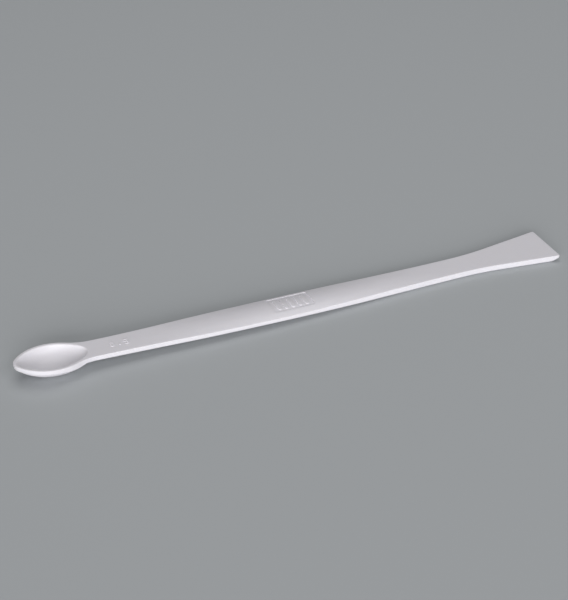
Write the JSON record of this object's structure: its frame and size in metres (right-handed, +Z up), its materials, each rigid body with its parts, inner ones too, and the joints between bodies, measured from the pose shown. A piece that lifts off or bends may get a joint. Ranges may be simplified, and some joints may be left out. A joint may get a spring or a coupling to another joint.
{
  "type": "lab spatula",
  "caption": "White moulded plastic lab spatula: a small egg-shaped scoop at one end, a slim bowed handle with a ribbed grip panel, and a flat flared scraping blade at the other",
  "frame": {"origin": "middle of the length, on the surface the spatula lies on", "axes": "+X points along the length from the bowl to the blade, +Y across the width, +Z up out of the bowl's open side"},
  "size_m": [0.18, 0.0168, 0.0056],
  "materials": {
    "white_plastic": "smooth moulded white plastic with a soft gloss"
  },
  "bodies": {
    "root": {"spatula": "white_plastic"}
  },
  "joints": []
}
